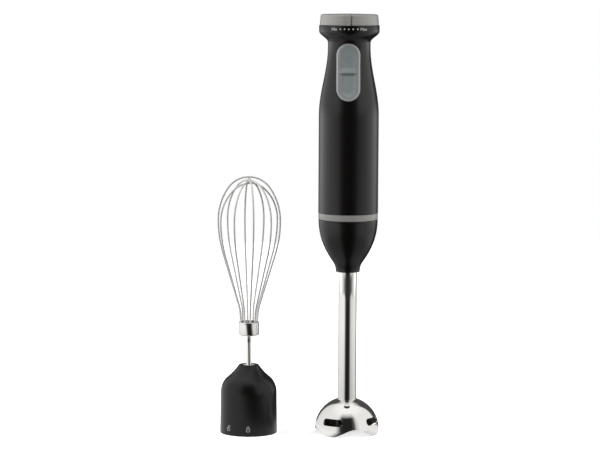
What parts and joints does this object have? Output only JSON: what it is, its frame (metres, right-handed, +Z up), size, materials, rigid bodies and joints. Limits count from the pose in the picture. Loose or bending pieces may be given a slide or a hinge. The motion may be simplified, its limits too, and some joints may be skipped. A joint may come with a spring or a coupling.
{
  "type": "immersion blender",
  "caption": "Upright stick blender with a speed dial, two front keys and a twist-off steel blade foot, its balloon whisk attachment standing beside it.",
  "frame": {"origin": "on the floor, at the middle of the box around the blender and its whisk attachment", "axes": "+Z up along the blender; the keys and the dial's scale face -Y; the whisk attachment stands on the -X side"},
  "size_m": [0.155, 0.0618, 0.3988],
  "materials": {
    "black_plastic": "semi-gloss moulded ABS",
    "grey_plastic": "satin moulded ABS",
    "polished_steel": "mirror-polished stainless steel",
    "tool_steel": "ground",
    "lamination": "stacked sheet",
    "copper": "enamelled winding wire and bars",
    "bronze": "sintered",
    "dark_plastic": "moulded",
    "white_plastic": "moulded acetal",
    "carbon": "pressed carbon",
    "board": "solder resist",
    "yellow_plastic": "moulded",
    "rubber": "moulded"
  },
  "bodies": {
    "motor_unit": {"front_shell": "black_plastic", "rear_shell": "black_plastic", "dial_collar": "black_plastic", "decor_ring": "grey_plastic", "coupling_spigot": "black_plastic", "key_frame": "grey_plastic", "lower_bracket": "dark_plastic", "upper_bracket": "dark_plastic", "stator_core": "lamination", "field_coils": "copper", "motor_bearings": "tool_steel", "brush_holders": "bronze", "carbon_brushes": "carbon", "control_board": "board", "micro_switches": "dark_plastic", "potentiometer": "dark_plastic", "terminal_block": "white_plastic", "suppressor_capacitor": "yellow_plastic", "cord_gland": "black_plastic", "housing_screws": "tool_steel", "motor_seal": "rubber"},
    "rotor": {"motor_shaft": "tool_steel", "armature_core": "lamination", "armature_windings": "copper", "commutator": "copper", "cooling_fan": "white_plastic", "drive_coupling": "white_plastic"},
    "dial": {"speed_dial": "grey_plastic", "dial_spindle": "tool_steel"},
    "speed_key": {"speed_key": "grey_plastic"},
    "turbo_key": {"turbo_key": "grey_plastic"},
    "foot": {"foot_goblet": "black_plastic", "shaft_tube": "polished_steel", "blade_guard": "polished_steel", "guard_hub": "black_plastic", "shaft_bushes": "bronze", "foot_seal": "rubber"},
    "blade_shaft": {"drive_shaft": "tool_steel", "driven_coupling": "white_plastic", "blade": "polished_steel", "blade_nut": "tool_steel"},
    "whisk_holder": {"whisk_holder": "black_plastic", "output_bush": "bronze", "ring_gear": "white_plastic", "gearbox_cover": "dark_plastic", "gearbox_screws": "tool_steel"},
    "whisk_input": {"whisk_input": "white_plastic", "sun_gear": "tool_steel"},
    "planet_carrier": {"planet_carrier": "white_plastic", "planet_pins": "tool_steel"},
    "planet_1": {"planet_gear_1": "white_plastic"},
    "planet_2": {"planet_gear_2": "white_plastic"},
    "planet_3": {"planet_gear_3": "white_plastic"},
    "whisk": {"whisk_stem": "polished_steel", "whisk_collar": "polished_steel", "wire_loop_1": "polished_steel", "wire_loop_2": "polished_steel", "wire_loop_3": "polished_steel", "wire_loop_4": "polished_steel", "wire_loop_5": "polished_steel"}
  },
  "joints": [
    {"name": "dial_turn", "type": "hinge", "parent": "motor_unit", "child": "dial", "pos_m": [0.04662, 0, 0.39], "axis": [0, 0, 1], "range_deg": [-30, 30]},
    {"name": "speed_press", "type": "slide", "parent": "motor_unit", "child": "speed_key", "axis": [0, 1, 0], "range_m": [0, 0.002], "stiffness_N_per_m": 1000, "springref_m": -0.0005},
    {"name": "turbo_press", "type": "slide", "parent": "motor_unit", "child": "turbo_key", "axis": [0, 1, 0], "range_m": [0, 0.002], "stiffness_N_per_m": 1000, "springref_m": -0.0005},
    {"name": "rotor_spin", "type": "hinge", "parent": "motor_unit", "child": "rotor", "pos_m": [0.04662, 0, 0.26], "axis": [0, 0, 1], "continuous": true},
    {"name": "foot_twist", "type": "hinge", "parent": "motor_unit", "child": "foot", "pos_m": [0.04662, 0, 0.1978], "axis": [0, 0, 1], "range_deg": [-45, 0]},
    {"name": "blade_spin", "type": "hinge", "parent": "motor_unit", "child": "blade_shaft", "pos_m": [0.04662, 0, 0.1], "axis": [0, 0, 1], "continuous": true},
    {"name": "whisk_lift", "type": "slide", "parent": "motor_unit", "child": "whisk_holder", "axis": [0, 0, 1], "range_m": [0, 0.1]},
    {"name": "carrier_spin", "type": "hinge", "parent": "whisk_holder", "child": "planet_carrier", "pos_m": [-0.04718, 0, 0.05], "axis": [0, 0, 1], "continuous": true},
    {"name": "input_spin", "type": "hinge", "parent": "whisk_holder", "child": "whisk_input", "pos_m": [-0.04718, 0, 0.015], "axis": [0, 0, 1], "continuous": true},
    {"name": "planet_1_spin", "type": "hinge", "parent": "planet_carrier", "child": "planet_1", "pos_m": [-0.03593, 0, 0.024], "axis": [0, 0, 1], "continuous": true},
    {"name": "planet_2_spin", "type": "hinge", "parent": "planet_carrier", "child": "planet_2", "pos_m": [-0.0528, 0.00974, 0.024], "axis": [0, 0, 1], "continuous": true},
    {"name": "planet_3_spin", "type": "hinge", "parent": "planet_carrier", "child": "planet_3", "pos_m": [-0.0528, -0.00974, 0.024], "axis": [0, 0, 1], "continuous": true},
    {"name": "whisk_pull", "type": "slide", "parent": "planet_carrier", "child": "whisk", "axis": [0, 0, 1], "range_m": [0, 0.05]}
  ],
  "couplings": [
    {"joint": "blade_spin", "follows": "rotor_spin", "ratio": 1},
    {"joint": "input_spin", "follows": "carrier_spin", "ratio": 5},
    {"joint": "planet_1_spin", "follows": "carrier_spin", "ratio": -2.6667},
    {"joint": "planet_2_spin", "follows": "carrier_spin", "ratio": -2.6667},
    {"joint": "planet_3_spin", "follows": "carrier_spin", "ratio": -2.6667}
  ]
}
